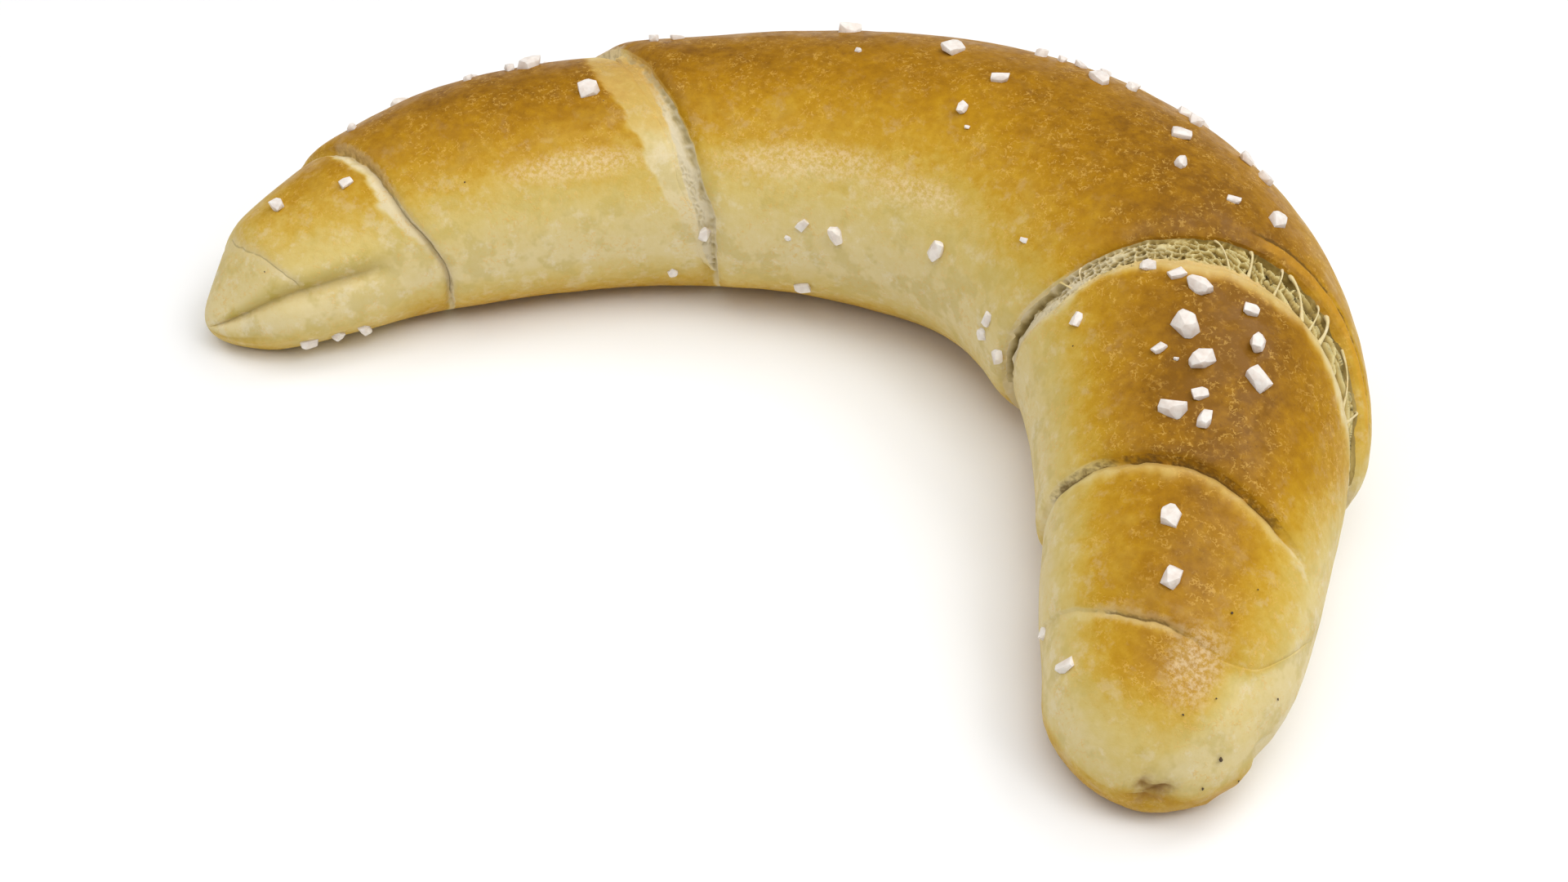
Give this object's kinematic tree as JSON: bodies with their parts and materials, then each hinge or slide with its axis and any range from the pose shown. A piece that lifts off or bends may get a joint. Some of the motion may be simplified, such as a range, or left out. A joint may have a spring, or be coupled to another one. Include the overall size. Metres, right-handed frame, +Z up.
{
  "type": "crescent roll",
  "caption": "Baked crescent roll of rolled-up milk dough with stepped, torn wrap seams, a browned glossy crown and coarse salt on top; it lies on its flat base.",
  "frame": {"origin": "centre of the bounding box in X and Y, at the underside that lies on the table", "axes": "+Z up, +X from the slender left tip to the blunt right tip, -Y out of the open side of the bend"},
  "size_m": [0.1872, 0.1124, 0.0426],
  "materials": {
    "crust": "egg-washed golden brown crust, pale at the seams and low on the sides",
    "salt": "matt off-white coarse grains"
  },
  "bodies": {
    "root": {"crescent_roll": "crust"}
  },
  "joints": []
}
